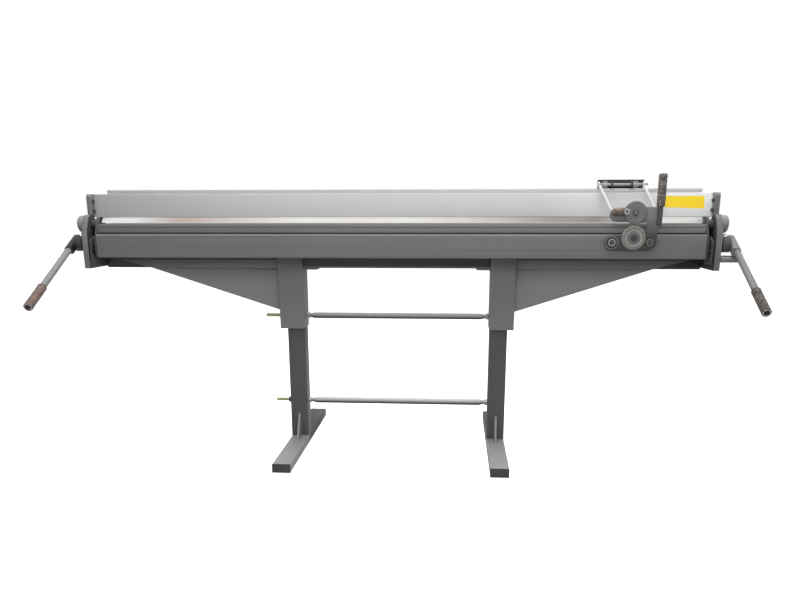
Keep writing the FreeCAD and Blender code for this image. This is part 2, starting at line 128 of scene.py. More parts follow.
# %% A material, built node by node
class Finish:
    def __init__(self, name, roughness=0.5, metallic=0.0):
        self.material = bpy.data.materials.new(name)
        self.material.use_nodes = True
        self.tree = self.material.node_tree
        self.shader = self.tree.nodes["Principled BSDF"]
        self.shader.inputs["Roughness"].default_value = roughness
        self.shader.inputs["Metallic"].default_value = metallic

    def node(self, kind, settings=None, inputs=None, output=0):
        """Adds a node, sets it up, fills its sockets and returns one of its outputs."""
        node = self.tree.nodes.new(kind)
        for key, item in (settings or {}).items():
            setattr(node, key, item)
        for key, item in (inputs or {}).items():
            socket = node.inputs[key]
            if isinstance(item, Value):
                self.tree.links.new(item.socket, socket)
            else:
                socket.default_value = item
        return Value(self.tree, node.outputs[output])

    def place(self):
        """Object coordinates, the fourth output of the node."""
        return self.node("ShaderNodeTexCoord", output=3)

    def noise(self, scale, detail=4.0, stretch=(1, 1, 1), roughness=0.55):
        where = self.node("ShaderNodeMapping", inputs={"Vector": self.place(), "Scale": stretch})
        inputs = {"Vector": where, "Scale": scale, "Detail": detail, "Roughness": roughness}
        return self.node("ShaderNodeTexNoise", inputs=inputs)

    def ramp(self, value, low, high):
        """0 below low, 1 above high, straight between."""
        inputs = {"Value": value, "From Min": low, "From Max": high}
        return self.node("ShaderNodeMapRange", {"clamp": True}, inputs)

    def mix(self, factor, low, high):
        """Two colours, mixed. The colour sockets are 6 and 7 going in and 2 coming out."""
        settings = {"data_type": "RGBA"}
        inputs = {0: factor, 6: low, 7: high}
        return self.node("ShaderNodeMix", settings, inputs, output=2)

    def banded(self, tone, bands):
        """Lets a tone pass into others along X, Y or Z, each from start to end."""
        for axis, start, end, tint in bands:
            inputs = {"Vector": self.place()}
            along = self.node("ShaderNodeSeparateXYZ", inputs=inputs, output="XYZ".index(axis))
            tone = self.mix(self.ramp(along, start, end), tone, colour(*tint))
        return tone

    def use(self, socket, value):
        self.tree.links.new(value.socket, self.shader.inputs[socket])

    def bump(self, height, strength, distance):
        inputs = {"Height": height, "Strength": strength, "Distance": distance}
        self.use("Normal", self.node("ShaderNodeBump", inputs=inputs))


def colour(r, g, b):
    """A colour on a 0 to 255 scale, made linear."""
    def linear(v):
        v = v / 255.0
        return v / 12.92 if v < 0.04045 else ((v + 0.055) / 1.055) ** 2.4
    return (linear(r), linear(g), linear(b), 1.0)


print("mid grey in linear light:", round(colour(128, 128, 128)[0], 3))

# %% [markdown]
# The frame is sprayed with machine enamel: a satin grey with slight orange peel, a little dust that
# settles in soft clouds, and fine handling scratches. Streaks are drawing marks of rolled steel that
# show through a thin coat.

# %% Machine paint
def paint(name, base, dusty, roughness=0.42, peel=0.25, streaks=0.0, bands=()):
    f = Finish(name, roughness)
    clouds = f.ramp(f.noise(2.2, 5.0), 0.35, 0.7)
    fine = f.noise(38.0, 6.0)
    scratches = f.ramp(f.noise(9.0, 8.0, stretch=(1, 14, 14), roughness=0.7), 0.62, 0.72)
    tone = f.mix(clouds * 0.55, colour(*base), colour(*dusty))
    tone = f.mix(scratches * 0.22, tone, colour(*[min(255, v + 38) for v in base]))
    if streaks:
        drawn = f.ramp(f.noise(5.0, 7.0, stretch=(0.12, 30, 30), roughness=0.75), 0.42, 0.62)
        tone = f.mix(drawn * streaks, tone, colour(*[v * 0.8 for v in base]))
    f.use("Base Color", f.banded(tone, bands))
    f.use("Roughness", roughness + clouds * 0.14 + fine * 0.06)
    f.bump(f.noise(420.0, 2.0) + fine * 0.6, peel, 0.0004)
    return f.material


grey_paint = paint("grey_enamel", (124, 124, 125), (134, 134, 133))
# The posts' enamel is a darker copy of the grey: painted shade.
post_painted_shade = paint("post_enamel", (80, 80, 81), (89, 89, 88))
# The end lips' enamel is a near-black copy of the grey: painted shade.
end_lip_painted_shade = paint("end_lip_enamel", (66, 66, 67), (74, 74, 73))
# The webs and gussets get a lighter copy of the grey: painted light.
web_paint = paint("web_enamel", (147, 147, 147), (156, 155, 153))
blade_paint = paint("blade_enamel", (124, 124, 125), (131, 131, 130), streaks=0.35)
# The bosses' lighter enamel is a painted highlight; their lower roughness is real gloss.
boss_paint = paint("boss_enamel", (134, 134, 135), (142, 142, 141), 0.36)
beam_paint = paint("beam_enamel", (116, 116, 117), (125, 125, 124), streaks=0.42)
dark_paint = paint("dark_enamel", (70, 71, 74), (84, 84, 84), 0.45)
carriage_paint = paint("carriage_enamel", (46, 46, 48), (58, 58, 58), 0.5)
knife_paint = paint("knife_enamel", (112, 112, 113), (126, 126, 125), 0.4)
rail_paint = paint("rail_enamel", (200, 200, 200), (208, 208, 206), 0.4)
print("plain paints ready")

# %% [markdown]
# Some coats carry painted light and shade along the piece. The feet darken behind the posts, as a
# painted shadow; the lower beam has a dark face and the web plates are darker where they run over it,
# both painted shade; the clamp plate is darker at its left end and lighter at its right one, painted
# light and shade. Arms and the knife's plate go dark towards the bottom, and the end plates on their
# inner faces, all painted shade. One soft step each stands for it. The feet and the web plates also get a
# lighter grey than the frame's, as painted light.

# %% Paints with painted light and shade in them
# Each step below is painted shade; the feet's one is a painted shadow behind the posts.
foot_painted_shadow = ("Y", 0.06, 0.10, (50, 50, 51))
beam_face_painted_shade = ("Y", 0.037, 0.035, (54, 54, 55))
plate_top_painted_shade = ("Z", 0.860, 0.868, (88, 88, 89))
arm_painted_shade = ("Z", 1.050, 1.030, (60, 60, 61))
knife_painted_shade = ("Z", 1.045, 0.975, (66, 66, 68))
# The feet and the web plates get a lighter grey than the frame's: painted light.
foot_paint = paint("foot_enamel", (142, 142, 143), (152, 152, 151), bands=(foot_painted_shadow,))
low_paint = paint("lower_beam_enamel", (116, 116, 117), (125, 125, 124), bands=(beam_face_painted_shade,))
plate_paint = paint("web_plate_enamel", (134, 134, 135), (142, 142, 141), bands=(plate_top_painted_shade,))
arm_paint = paint("arm_enamel", (116, 116, 117), (125, 125, 124), bands=(arm_painted_shade,))
frame_paint = paint("knife_frame_enamel", (117, 117, 118), (126, 126, 125), 0.4, bands=(knife_painted_shade,))
# The X bands are painted light: darker at the clamp plate's left end, lighter at its right.
light_paint = paint("light_grey_enamel", (187, 187, 187), (195, 194, 192), 0.4, streaks=0.2,
                    bands=(("X", -0.6, -1.3, (172, 172, 172)), ("X", 0.6, 1.15, (217, 217, 217))))
END_GREY, END_DUSTY = (116, 116, 117), (125, 125, 124)
end_paint = {}
# Each end plate steps to painted shade on its inner face.
for side, sign in SIDES:
    faces = [abs(corner[0]) for corner in nodes[side + "_end_plate"].bound_box]
    inner = sign * min(faces)
    painted_shade = ("X", inner + sign * 0.0015, inner + sign * 0.0005, (62, 62, 63))
    end_paint[side] = paint(side + "_end_enamel", END_GREY, END_DUSTY, streaks=0.42, bands=(painted_shade,))
print("stepped paints ready")

# %% [markdown]
# Zinc on tube and rod is duller than bare metal, so it is painted rather than polished. The tie rods get a
# painted highlight, nearly white on top, and painted shade below; the studs are yellow-passivated, which
# reads as a pale olive.

# %% Galvanised tube and rod
rod_zinc_painted_light_and_shade = {}
for rod in ("upper", "lower"):
    corners = [corner[2] for corner in nodes[rod + "_tie_rod"].bound_box]
    height = (min(corners) + max(corners)) / 2
    # The near-white base is a painted highlight on the rod's top, the dark band a painted shade below.
    painted_shade = ("Z", height + 0.0135, height - 0.006, (70, 70, 70))
    rod_zinc_painted_light_and_shade[rod] = paint(rod + "_rod_zinc_painted_light_and_shade", (250, 250, 250), (238, 238, 237), 0.3, bands=(painted_shade,))
lever_zinc = paint("galvanised_lever", (138, 138, 138), (120, 120, 119), 0.34)
# The right lever's zinc is a darker copy of the left lever's.
right_zinc = paint("darker_right_lever", (122, 122, 122), (106, 106, 105), 0.36)
arm_zinc = paint("galvanised_arm", (206, 206, 204), (190, 190, 188), 0.3)
olive_rod = paint("olive_rod", (200, 197, 160), (158, 152, 108), 0.35)
print("zinc ready")

# %% [markdown]
# Bare steel shows the direction in which it was ground or drawn. A noise squeezed along X gives the long
# hairlines on the nose, and a rounder one the marks on turned parts. The four tints along the nose are
# painted reflections: bluish white at both ends, copper on the left, and duller steel towards the knife.

# %% Bare and plated metal
def metal(name, base, stain, roughness, stretch=(1, 60, 60), stain_amount=0.35, bands=()):
    f = Finish(name, roughness, 1.0)
    lines = f.noise(55.0, 5.0, stretch=stretch)
    patches = f.ramp(f.noise(5.5, 6.0), 0.5, 0.75)
    tone = f.mix(patches * stain_amount, colour(*base), colour(*stain))
    f.use("Base Color", f.banded(tone, bands))
    f.use("Roughness", roughness + lines * 0.18 + patches * 0.12)
    f.bump(lines, 0.12, 0.0003)
    return f.material


# The X bands of the ground steel are painted reflections along the nose.
ground_steel = metal("ground_steel", (255, 253, 248), (235, 220, 205), 0.3, stain_amount=0.3,
                     bands=(("X", -0.40, -0.90, (210, 196, 188)), ("X", -0.95, -1.15, (248, 250, 252)),
                            ("X", 0.15, 0.65, (186, 180, 176)), ("X", 0.85, 1.1, (248, 252, 252))))
bright_zinc = metal("bright_zinc", (196, 197, 198), (150, 150, 150), 0.34, (12, 12, 12))
sleeve_steel = metal("sleeve_steel", (86, 87, 90), (68, 68, 70), 0.45, (10, 10, 10))
turned_steel = metal("turned_steel", (150, 147, 140), (112, 106, 98), 0.36, (8, 60, 8))
print("metals ready")

# %% [markdown]
# The grips are moulded from a mottled brown plastic with light flakes in it. A speckle noise gives the
# mottling, and small Voronoi spots the flakes. Caps, wheel and film are plainer versions of the same.

# %% Plastics and the film
def plastic(name, base, speck, roughness, scale, amount, dots=0.0):
    f = Finish(name, roughness)
    specks = f.ramp(f.noise(scale, 6.0, roughness=0.7), 0.5, 0.68)
    tone = f.mix(specks * amount, colour(*base), colour(*speck))
    relief = f.noise(300.0, 3.0)
    if dots:
        cells = f.node("ShaderNodeTexVoronoi", inputs={"Vector": f.place(), "Scale": 150.0})
        spots = (1.0 - f.ramp(cells, 0.16, 0.3)).clamped()
        tone = f.mix(spots * dots, tone, colour(206, 200, 192))
        relief = relief * 0.4 + spots
    f.use("Base Color", tone)
    f.use("Roughness", roughness + specks * 0.15)
    f.bump(relief, 0.3, 0.0004)
    return f.material


mottled_knob = plastic("mottled_brown", (102, 84, 76), (190, 174, 164), 0.42, 70.0, 0.8, 0.35)
left_grip = plastic("brown_grip", (98, 83, 75), (152, 131, 118), 0.6, 60.0, 0.8, 0.3)
right_grip = plastic("grey_brown_grip", (66, 60, 57), (106, 97, 92), 0.6, 60.0, 0.7, 0.55)
knife_grip_rubber = plastic("dark_grip", (84, 80, 76), (150, 144, 136), 0.6, 75.0, 0.75, 0.9)
black_cap = plastic("black_cap", (60, 60, 62), (78, 78, 78), 0.55, 60.0, 0.4)
yellow_film = plastic("yellow_film", (246, 212, 44), (238, 200, 38), 0.35, 20.0, 0.4)
beige_wheel = plastic("beige_wheel", (132, 129, 121), (106, 103, 96), 0.45, 50.0, 0.6)
print("plastics ready")

# %% [markdown]
# Sharp CAD edges catch no light, so they look drawn. Each rigid solid is copied, its loose triangles are
# merged and their flat faces joined, and a Bevel modifier rounds the edges by the few tenths of a
# millimetre, or the few millimetres on rolled tube, that the real ones have.

# %% Rounded copies of the CAD solids
MERGE_DISTANCE = 0.00002
FLAT_ANGLE, SHARP_ANGLE = math.radians(1.0), math.radians(30.0)


def rounded(name, body, finish, width, segments):
    copy = bpy.data.objects.new(name + "_form", nodes[name].data.copy())
    bpy.context.scene.collection.objects.link(copy)
    bm = bmesh.new()
    bm.from_mesh(copy.data)
    bmesh.ops.remove_doubles(bm, verts=bm.verts, dist=MERGE_DISTANCE)
    bmesh.ops.dissolve_limit(bm, angle_limit=FLAT_ANGLE, verts=bm.verts, edges=bm.edges)
    for face in bm.faces:
        face.smooth = True
    bm.to_mesh(copy.data)
    bm.free()
    copy.data.materials.clear()
    copy.data.materials.append(finish)
    bevel = copy.modifiers.new("edge", "BEVEL")
    bevel.width = width
    bevel.segments = segments
    bevel.limit_method = "ANGLE"
    bevel.angle_limit = SHARP_ANGLE
    bevel.harden_normals = True
    bevel.use_clamp_overlap = True
    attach(copy, body)
    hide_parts(name)


print("rounding ready")

# %% [markdown]
# The record says which body and which material slot a node has. The slot gives its usual finish, and a
# second table names the nodes that look different in the photograph.

# %% Which finish goes where
body_of = {node: body for body, group in frame["record"]["behaviour"]["bodies"].items() for node in group}
slot_of = {row["node"]: row["material_slot"] for row in frame["record"]["subparts"]}
finish_of = {
    "grey_paint": grey_paint, "light_paint": light_paint, "bright_steel": ground_steel,
    "dark_steel": dark_paint, "bright_zinc": bright_zinc, "yellow_zinc": olive_rod,
    "brown_grip": left_grip, "black_plastic": black_cap,
}
special = {
    "knife_frame": frame_paint, "knife_carriage": carriage_paint, "knife_rail_rollers": turned_steel,
    "knife_arms": arm_zinc, "lower_beam": low_paint, "clamp_rail": rail_paint,
    "bending_blade": blade_paint, "bending_tube": beam_paint, "left_lever_hub": carriage_paint,
    "left_lever_plate": sleeve_steel, "left_lever_tube": lever_zinc,
    "right_lever_plate": right_zinc, "right_lever_tube": right_zinc,
    "upper_tie_rod": rod_zinc_painted_light_and_shade["upper"], "lower_tie_rod": rod_zinc_painted_light_and_shade["lower"],
}
for side in ("left", "right"):
    special[side + "_foot"] = foot_paint
    special[side + "_gussets"] = web_paint
    special[side + "_clamp_arm"] = arm_paint
    special[side + "_end_plate"] = end_paint[side]
    special[side + "_post"] = post_painted_shade
    special[side + "_pivot_lug"] = dark_paint
    special[side + "_web"] = web_paint
print("special finishes:", len(special))

# %% [markdown]
# Rolled tube and folded plate have a wide round edge, sawn plate hardly any. The pieces that are turned
# on a lathe further down get no copy here.

# %% Round all solids that keep their CAD shape
PLAIN_EDGE, WIDE_EDGE = 0.001, 0.0035
shaped = {
    "upper_tie_studs", "lower_tie_studs", "left_lever_grip", "right_lever_grip", "knife_grip",
    "knife_upper_disc", "knife_lower_disc", "left_pivot_boss", "right_pivot_boss",
    "knife_guide_rollers", "knife_knob",
}
edge_of = {"foot": 0.0045, "post": 0.0045, "bending_tube": 0.006, "leg_bracket": 0.005, "end_plate": 0.004,
           "clamp_arm": 0.003, "clamp_box": 0.0025, "lever_plate": 0.0015}
for node in sorted(set(nodes) - shaped):
    widths = [w for part, w in edge_of.items() if part in node and "cap" not in node]
    width = max(widths or [PLAIN_EDGE])
    finish = special.get(node, finish_of[slot_of[node]])
    rounded(node, body_of[node], finish, width, 4 if width > WIDE_EDGE else 2)
print("rounded copies:", len(nodes) - len(shaped))

# %% [markdown]
# Turned pieces are lathed: a profile of distance and radius is spun once round its axis. Six steps give
# a hexagon. Several of them can share one mesh, as long as they ride on the same body.

# %% A small workshop of shapes
def lathe(bm, profile, at, way, steps=28):
    way = Vector(way).normalized()
    side = way.orthogonal().normalized()
    line = [bm.verts.new(Vector(at) + way * s + side * r) for s, r in profile]
    edges = [bm.edges.new(pair) for pair in zip(line, line[1:])]
    bmesh.ops.spin(
        bm, geom=line + edges, cent=at, axis=way, dvec=(0, 0, 0), angle=2 * math.pi, steps=steps,
        use_merge=True, use_normal_flip=False, use_duplicate=False,
    )


def bolt(bm, at, way, r, height, washer=1.5):
    """A hexagon head on a washer, with a rounded stub of thread in front."""
    w = height * 0.22
    k = height
    lathe(bm, [(0, 0), (0, r * washer), (w, r * washer), (w, 0)], at, way, 24)
    lathe(bm, [(w, 0), (w, r), (k * 0.85, r), (k, r * 0.86), (k, 0)], at, way, 6)
    stub = [(k, 0), (k, r * 0.5), (k * 1.25, r * 0.5), (k * 1.35, r * 0.36), (k * 1.35, 0)]
    lathe(bm, stub, at, way, 16)


def made(name, bm, body, finish, smooth=35.0, replaced=()):
    """Closes a new mesh, shades it and lets it ride on its body."""
    bmesh.ops.remove_doubles(bm, verts=bm.verts, dist=0.000001)
    bmesh.ops.recalc_face_normals(bm, faces=bm.faces)
    for face in bm.faces:
        face.smooth = True
    limit = math.radians(smooth)
    for edge in bm.edges:
        edge.smooth = edge.is_manifold and edge.calc_face_angle(0.0) < limit
    mesh = bpy.data.meshes.new(name)
    bm.to_mesh(mesh)
    bm.free()
    mesh.materials.append(finish)
    thing = bpy.data.objects.new(name, mesh)
    bpy.context.scene.collection.objects.link(thing)
    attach(thing, body)
    if replaced:
        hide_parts(*replaced)


def brick(bm, low, high, edge=0.0008):
    """A block between two corners with its edges rounded."""
    low, high = Vector(low), Vector(high)
    part = bmesh.ops.create_cube(bm, size=1.0)["verts"]
    bmesh.ops.scale(bm, vec=high - low, verts=part)
    bmesh.ops.translate(bm, vec=(high + low) / 2, verts=part)
    edges = list({e for v in part for e in v.link_edges})
    bmesh.ops.bevel(bm, geom=edges, offset=edge, offset_type="OFFSET", affect="EDGES", segments=2,
                    profile=0.5, material=-1)


def middle(node):
    """The centre and the half sizes of a CAD node's box."""
    corners = [nodes[node].matrix_world @ Vector(c) for c in nodes[node].bound_box]
    low = Vector([min(c[i] for c in corners) for i in range(3)])
    high = Vector([max(c[i] for c in corners) for i in range(3)])
    return (low + high) / 2, (high - low) / 2


X, Y, Z = Vector((1, 0, 0)), Vector((0, 1, 0)), Vector((0, 0, 1))
print("shapes ready")

# %% [markdown]
# The long studs on the left leg are threaded rod. A zigzag profile, spun round the rod's axis, gives the
# crests of the thread; at this size the eye doesn't miss the helix. A hexagon nut sits against the leg.

# %% Threaded studs with their nuts
core, crest, pitch = 0.0070, 0.0079, 0.0025
for name in ("upper_tie_studs", "lower_tie_studs"):
    centre, half = middle(name)
    start = centre.x - half.x
    length = 2 * half.x
    profile = [(0, 0), (0, core * 0.8), (0.002, core)]
    s = 0.002
    while s < length - 0.004:
        profile += [(s + pitch * 0.5, crest), (s + pitch, core)]
        s += pitch
    profile += [(length, core), (length, 0)]
    bm = bmesh.new()
    lathe(bm, profile, (start, centre.y, centre.z), X, 20)
    made(name + "_thread", bm, "base", olive_rod, 20.0, (name,))
    bm = bmesh.new()
    nut = [(0, 0.0085), (0, 0.0128), (0.0015, 0.0148), (0.0125, 0.0148), (0.0138, 0.0128), (0.0138, 0.0085)]
    lathe(bm, nut, (start + length - 0.014, centre.y, centre.z), X, 6)
    made(name + "_nut", bm, "base", dark_paint)
print("studs done")

# %% [markdown]
# The lever grips are moulded sleeves, pushed over the end of the tube. They have flat ribs, a thicker rim
# at both ends and a hole in which the bright end of the tube shows. One turned profile makes the sleeve
# with its recess, and a thin ring the tube's end.

# %% Grips with a rounded rim and a bright ring at the open end
GRIP_LENGTH = 0.146
GRIP_RIBS, RIB_START, RIB_STEP = 9, 0.016, 0.0125
DROP = math.radians(28.0)
down_the_lever = Vector((0, -math.cos(DROP), -math.sin(DROP)))
for side, finish in (("left", left_grip), ("right", right_grip)):
    centre, half = middle(side + "_lever_grip")
    r = half.x - 0.0002
    at = centre - down_the_lever * GRIP_LENGTH / 2
    profile = [(0.0, r * 0.74), (0.001, r * 0.93), (0.004, r), (0.010, r), (0.012, r * 0.96)]
    for k in range(GRIP_RIBS):
        s = RIB_START + RIB_STEP * k
        profile += [(s, r * 0.96), (s + 0.003, r * 0.99), (s + 0.008, r * 0.99), (s + 0.0115, r * 0.96)]
    end = GRIP_LENGTH - 0.001
    profile += [(end - 0.014, r), (end - 0.002, r), (end, r * 0.93), (end, r * 0.82)]
    profile += [(end - 0.02, r * 0.7), (end - 0.02, 0)]
    bm = bmesh.new()
    lathe(bm, profile, at, down_the_lever, 36)
    made(side + "_grip", bm, side + "_lever", finish, 50.0, (side + "_lever_grip",))
    bm = bmesh.new()
    rim = [(end - 0.018, r * 0.66), (end, r * 0.68), (end, r * 0.81), (end - 0.003, r * 0.83)]
    rim += [(end - 0.018, r * 0.72), (end - 0.018, r * 0.66)]
    lathe(bm, rim, at, down_the_lever, 32)
    made(side + "_grip_ring", bm, side + "_lever", bright_zinc)
print("grips done")

# %% [markdown]
# The pivot bosses are thick turned knobs with a generous round edge. Beside them hexagon bolts hold the
# end plates, and two more on each side the ears of the clamping beam. One small bright bolt sits next to
# the right lever's hub. Each bolt is three turned profiles: washer, hexagon and stub.

# %% Bosses and the bolts of the end plates
PLATE_FACE, PLATE_BOLTS = 1.345, ((0.085, 0.985), (0.085, 0.875), (-0.02, 0.862))
EAR_FACE, EAR_BOLT_Y, EAR_BOLTS_Z = 1.3252, -0.0445, (1.118, 1.079)
CLIP_BOLT = (1.3452, -0.115, 0.981)
for side, sign in SIDES:
    centre, half = middle(side + "_pivot_boss")
    at = Vector((sign * (abs(centre.x) - half.x), centre.y, centre.z))
    t, r = 2 * half.x, half.z
    profile = [(0, 0), (0, r * 0.94), (0.003, r), (t * 0.5, r), (t * 0.74, r * 0.97), (t * 0.9, r * 0.86)]
    profile += [(t * 0.985, r * 0.66), (t, r * 0.5), (t, 0)]
    bm = bmesh.new()
    lathe(bm, profile, at, X * sign, 40)
    made(side + "_boss", bm, "base", boss_paint, 40.0, (side + "_pivot_boss",))
    bm = bmesh.new()
    for y, z in PLATE_BOLTS:
        bolt(bm, (sign * PLATE_FACE, y, z), X * sign, 0.0085, 0.009)
    made(side + "_plate_bolts", bm, "base", turned_steel)
    bm = bmesh.new()
    for z in EAR_BOLTS_Z:
        bolt(bm, (sign * EAR_FACE, EAR_BOLT_Y, z), X * -sign, 0.0085, 0.0085, 1.15)
    made(side + "_ear_bolts", bm, "clamping_beam", dark_paint)
bm = bmesh.new()
bolt(bm, CLIP_BOLT, X, 0.0068, 0.014, 1.15)
made("right_clip_bolt", bm, "base", arm_zinc)
print("bosses and bolts done")

# %% [markdown]
# The lever stop carries a strip of rubber, so that steel doesn't strike steel. It would be cut from a mat
# and glued on. A flat block with round edges is all it takes.

# %% The rubber strip over the lever stop
STRIP_HALF_WIDTH, STRIP_HALF_HEIGHT = 0.007, 0.002
stop_c, stop_h = middle("lever_stop")
top = stop_c.z + stop_h.z
low = (stop_c.x - stop_h.x + 0.002, stop_c.y - STRIP_HALF_WIDTH, top - STRIP_HALF_HEIGHT)
high = (stop_c.x + stop_h.x, stop_c.y + STRIP_HALF_WIDTH, top + STRIP_HALF_HEIGHT)
bm = bmesh.new()
brick(bm, low, high)
made("stop_strip", bm, "base", black_cap)
print("stop done")

# %% [markdown]
# The knife is the busiest spot. Its two discs part the sheet between them: the upper one is a plain
# turned disc with a bevel, the lower one looks like a beige wheel with a bright ring and a hub plate.
# Each is one profile with its bevels and recesses, open at the axle.

# %% The two cutting discs
upper_c, upper_h = middle("knife_upper_disc")
lower_c, lower_h = middle("knife_lower_disc")
front = upper_c.y - upper_h.y
bm = bmesh.new()
r = upper_h.z
back = upper_c.y + upper_h.y
disc = [(0, 0.0061), (0, r * 0.985), (0.001, r), (0.0022, r * 0.985), (0.0048, r * 0.93), (0.0048, 0.024)]
disc += [(0.0043, 0.023), (0.0043, 0.0061)]
lathe(bm, disc, (upper_c.x, back, upper_c.z), -Y, 64)
made("upper_cutting_disc", bm, "upper_disc", knife_paint, 25.0, ("knife_upper_disc",))

bm = bmesh.new()
r = lower_h.z
back = lower_c.y + lower_h.y
wheel = [(0, 0.0061), (0, r * 0.985), (0.001, r), (0.0025, r * 0.985), (0.0046, r * 0.9), (0.0049, r * 0.78)]
wheel += [(0.0042, r * 0.74), (0.0042, r * 0.7), (0.0036, r * 0.68), (0.0036, 0.0061)]
lathe(bm, wheel, (lower_c.x, back, lower_c.z), -Y, 64)
made("lower_cutting_disc", bm, "lower_disc", beige_wheel, 25.0, ("knife_lower_disc",))
bm = bmesh.new()
ring = [(0.0034, 0.0285), (0.0048, 0.029), (0.0048, 0.0325), (0.0034, 0.033), (0.0034, 0.0285)]
lathe(bm, ring, (lower_c.x, back, lower_c.z), -Y, 56)
made("lower_disc_rings", bm, "lower_disc", bright_zinc)
bm = bmesh.new()
plate = [(0.0034, 0.0065), (0.0034, 0.028), (0.0042, 0.0275), (0.0044, 0.02), (0.0042, 0.0065)]
lathe(bm, plate + plate[:1], (lower_c.x, back, lower_c.z), -Y, 48)
made("lower_disc_plate", bm, "lower_disc", knife_paint)
print("cutting discs done")

# %% [markdown]
# The axles end in flat round heads. The upper one has a cross slot, which would be milled. Two slim
# bright bars in the shape of a cross read the same and need no cut in the solid.

# %% Heads of the axles
bm = bmesh.new()
axle_c, axle_h = middle("knife_lower_axle")
nose_y = axle_c.y - axle_h.y
hub = [(-0.0049, 0), (-0.0049, 0.0155), (-0.0028, 0.0155), (-0.0018, 0.0142), (-0.0018, 0.009)]
hub += [(0, 0.0085), (0, 0)]
lathe(bm, hub, (axle_c.x, nose_y, axle_c.z), -Y, 40)
axle_c, axle_h = middle("knife_upper_axle")
nose_y = axle_c.y - axle_h.y
lathe(bm, [(-0.0048, 0), (-0.0048, 0.012), (-0.002, 0.012), (-0.0005, 0.0105), (-0.0005, 0)],
      (axle_c.x, nose_y, axle_c.z), -Y, 40)
made("axle_heads", bm, "knife_head", dark_paint, 40.0)
SLOT_TURN, SLOT_REACH = 0.7, 0.0095
bm = bmesh.new()
for turn in (SLOT_TURN, SLOT_TURN + math.pi / 2):
    along = Vector((math.cos(turn), 0, math.sin(turn))) * SLOT_REACH
    lathe(bm, [(0, 0), (0.001, 0.0009), (0.018, 0.0009), (0.019, 0)],
          Vector((axle_c.x, nose_y + 0.0005, axle_c.z)) - along, along, 8)
made("cross_slot", bm, "knife_head", bright_zinc)
print("axle heads done")

# %% [markdown]
# A mottled brown knob lies across the left shoulder of the knife, with a bright ring nut and a small pin
# at its right end. The knob is moulded round, with two shallow grooves; nut and pin are turned.

# %% Knob and ring nut
knob_c, knob_h = middle("knife_knob")
r, length = knob_h.z, 2 * knob_h.x
at = (knob_c.x - knob_h.x, knob_c.y, knob_c.z)
profile = [(0, 0), (0, r * 0.78), (0.003, r * 0.96), (0.008, r), (0.012, r * 0.93), (0.016, r)]
profile += [(length - 0.016, r), (length - 0.012, r * 0.93), (length - 0.008, r), (length - 0.002, r * 0.94)]
profile += [(length, r * 0.8), (length, 0)]
bm = bmesh.new()
lathe(bm, profile, at, X, 32)
made("shoulder_knob", bm, "knife_head", mottled_knob, 50.0, ("knife_knob",))
bm = bmesh.new()
nut_x = knob_c.x + knob_h.x + 0.012
nut_y = front - 0.006
ring = [(0, 0.0055), (0, 0.011), (0.0012, 0.0118), (0.006, 0.0118), (0.0072, 0.0105), (0.0072, 0.0062)]
lathe(bm, ring + ring[:1], (nut_x, nut_y, knob_c.z), -Y, 30)
pin = [(0, 0), (0, 0.003), (0.0065, 0.003), (0.0065, 0)]
lathe(bm, pin, (nut_x - 0.0165, nut_y - 0.0036, knob_c.z), X, 16)
made("ring_nut", bm, "knife_head", bright_zinc)
print("knob done")

# %% [markdown]
# Two small rollers stand left and right of the lower disc. Each is a turned wheel with a raised ring and
# a bolt in the middle; the left one is brighter and has a beige ring round it.

# %% Guide rollers
centre, half = middle("knife_guide_rollers")
bm = bmesh.new()
bright_rim = bmesh.new()
dull_rim = bmesh.new()
beige_rim = bmesh.new()
t = 2 * half.y
back = centre.y + half.y
r = half.z
for x, rims in ((centre.x - half.x + r, bright_rim), (centre.x + half.x - r, dull_rim)):
    lathe(bm, [(0, 0), (0, r), (t * 0.55, r), (t * 0.7, r * 0.95), (t * 0.7, 0)], (x, back, centre.z), -Y, 40)
    ring = [(t * 0.66, r * 0.66), (t * 0.95, r * 0.7), (t * 0.95, r * 0.86), (t * 0.66, r * 0.9)]
    lathe(rims, ring + ring[:1], (x, back, centre.z), -Y, 40)
    bolt(bm, (x, back - t * 0.55, centre.z), -Y, r * 0.42, t * 0.32, 1.1)
ring = [(0, 0.0235), (0.0012, 0.0238), (0.0012, 0.0268), (0, 0.027), (0, 0.0235)]
lathe(beige_rim, ring, (centre.x - half.x + r, back, centre.z), -Y, 48)
made("guide_outer_ring", beige_rim, "knife_head", beige_wheel)
made("guide_ring_right", dull_rim, "knife_head", turned_steel)
made("guide_wheels", bm, "knife_head", dark_paint, 35.0, ("knife_guide_rollers",))
made("guide_ring_left", bright_rim, "knife_head", bright_zinc)
print("guide rollers done")

# %% [markdown]
# The carriage runs on two rollers on the rail. A stamped washer lies in front of each, so a short ring
# with a chamfer is enough.

# %% Washers of the rail rollers
washer = [(0, 0.004), (0, 0.0095), (0.002, 0.0095), (0.003, 0.0085), (0.003, 0.004)]
bm = bmesh.new()
roller_c, roller_h = middle("knife_rail_rollers")
for sign in (-1, 1):
    x = roller_c.x + sign * (roller_h.x - roller_h.z)
    at = (x, roller_c.y - roller_h.y, roller_c.z)
    lathe(bm, washer + washer[:1], at, -Y, 28)
made("roller_washers", bm, "carriage", bright_zinc)
print("washers done")

# %% [markdown]
# The knife is pushed by its upright grip, a shorter cousin of the lever grips. The end of its steel core
# shows at the top as a bright disc.

